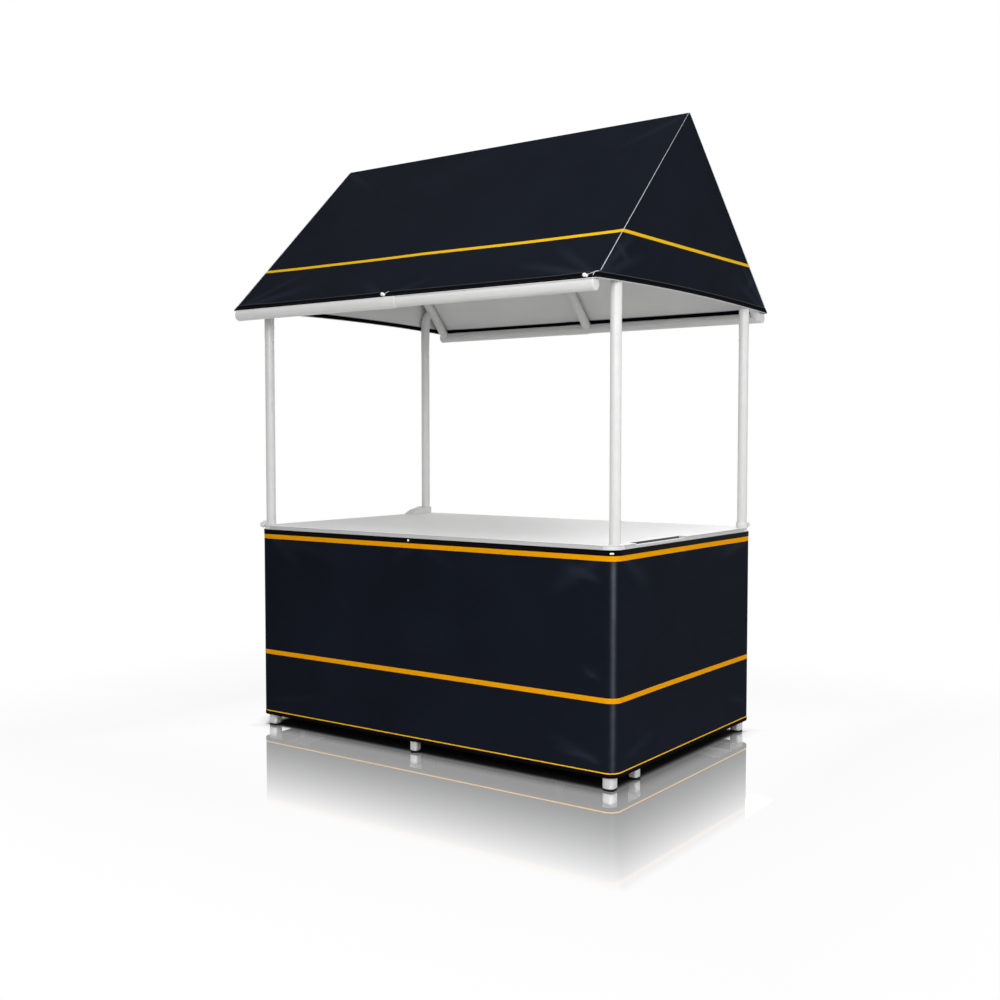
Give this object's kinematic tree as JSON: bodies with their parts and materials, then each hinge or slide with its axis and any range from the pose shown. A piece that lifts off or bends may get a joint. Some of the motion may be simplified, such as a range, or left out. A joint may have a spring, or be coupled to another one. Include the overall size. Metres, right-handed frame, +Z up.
{
  "type": "market stall with gabled canopy",
  "caption": "Free-standing market stall: a skirted counter on a white tube frame, with posts that carry a gabled cloth canopy over the serving space.",
  "frame": {"origin": "on the floor, under the middle of the stall", "axes": "+X along the stall to the customer's right, -Y towards the customer, +Z up"},
  "size_m": [1.8565, 1.4836, 2.5744],
  "materials": {
    "powder_white": "white powder coat on tube, satin, very slightly pebbled",
    "board_white": "white laminate board, satin, with a rounded edge",
    "foot_silver": "light satin aluminium",
    "pad_rubber": "black moulded rubber",
    "skirt_cloth": "navy-black woven polyester with orange printed bands, soft sheen",
    "canopy_cloth": "navy-black coated woven polyester with an orange printed band, pale grey inside",
    "toggle_white": "white moulded plastic"
  },
  "bodies": {
    "root": {"foot_pads": "pad_rubber", "corner_feet": "foot_silver", "inner_feet": "foot_silver", "corner_legs": "powder_white", "inner_legs": "powder_white", "long_base_rails": "powder_white", "short_base_rails": "powder_white", "top_rail_front": "powder_white", "top_rail_rear": "powder_white", "top_rail_left": "powder_white", "top_rail_right": "powder_white", "cross_rail": "powder_white", "counter_top": "board_white", "skirt_front": "skirt_cloth", "skirt_right": "skirt_cloth", "skirt_rear": "skirt_cloth", "skirt_left": "skirt_cloth", "skirt_corners": "skirt_cloth", "skirt_studs": "toggle_white", "socket_front_left": "powder_white", "socket_front_right": "powder_white", "socket_rear_left": "powder_white", "socket_rear_right": "powder_white", "post_front_left": "powder_white", "post_front_right": "powder_white", "post_rear_left": "powder_white", "post_rear_right": "powder_white", "rafter_front_left": "powder_white", "rafter_front_middle": "powder_white", "rafter_front_right": "powder_white", "rafter_rear_left": "powder_white", "rafter_rear_middle": "powder_white", "rafter_rear_right": "powder_white", "ridge_tube": "powder_white", "eave_tube_front": "powder_white", "eave_sleeve_front": "powder_white", "eave_tube_rear": "powder_white", "eave_sleeve_rear": "powder_white", "eave_caps": "powder_white", "ridge_caps": "powder_white", "roof_front": "canopy_cloth", "roof_rear": "canopy_cloth", "gable_left": "canopy_cloth", "gable_right": "canopy_cloth", "canopy_toggles": "toggle_white"}
  },
  "joints": []
}
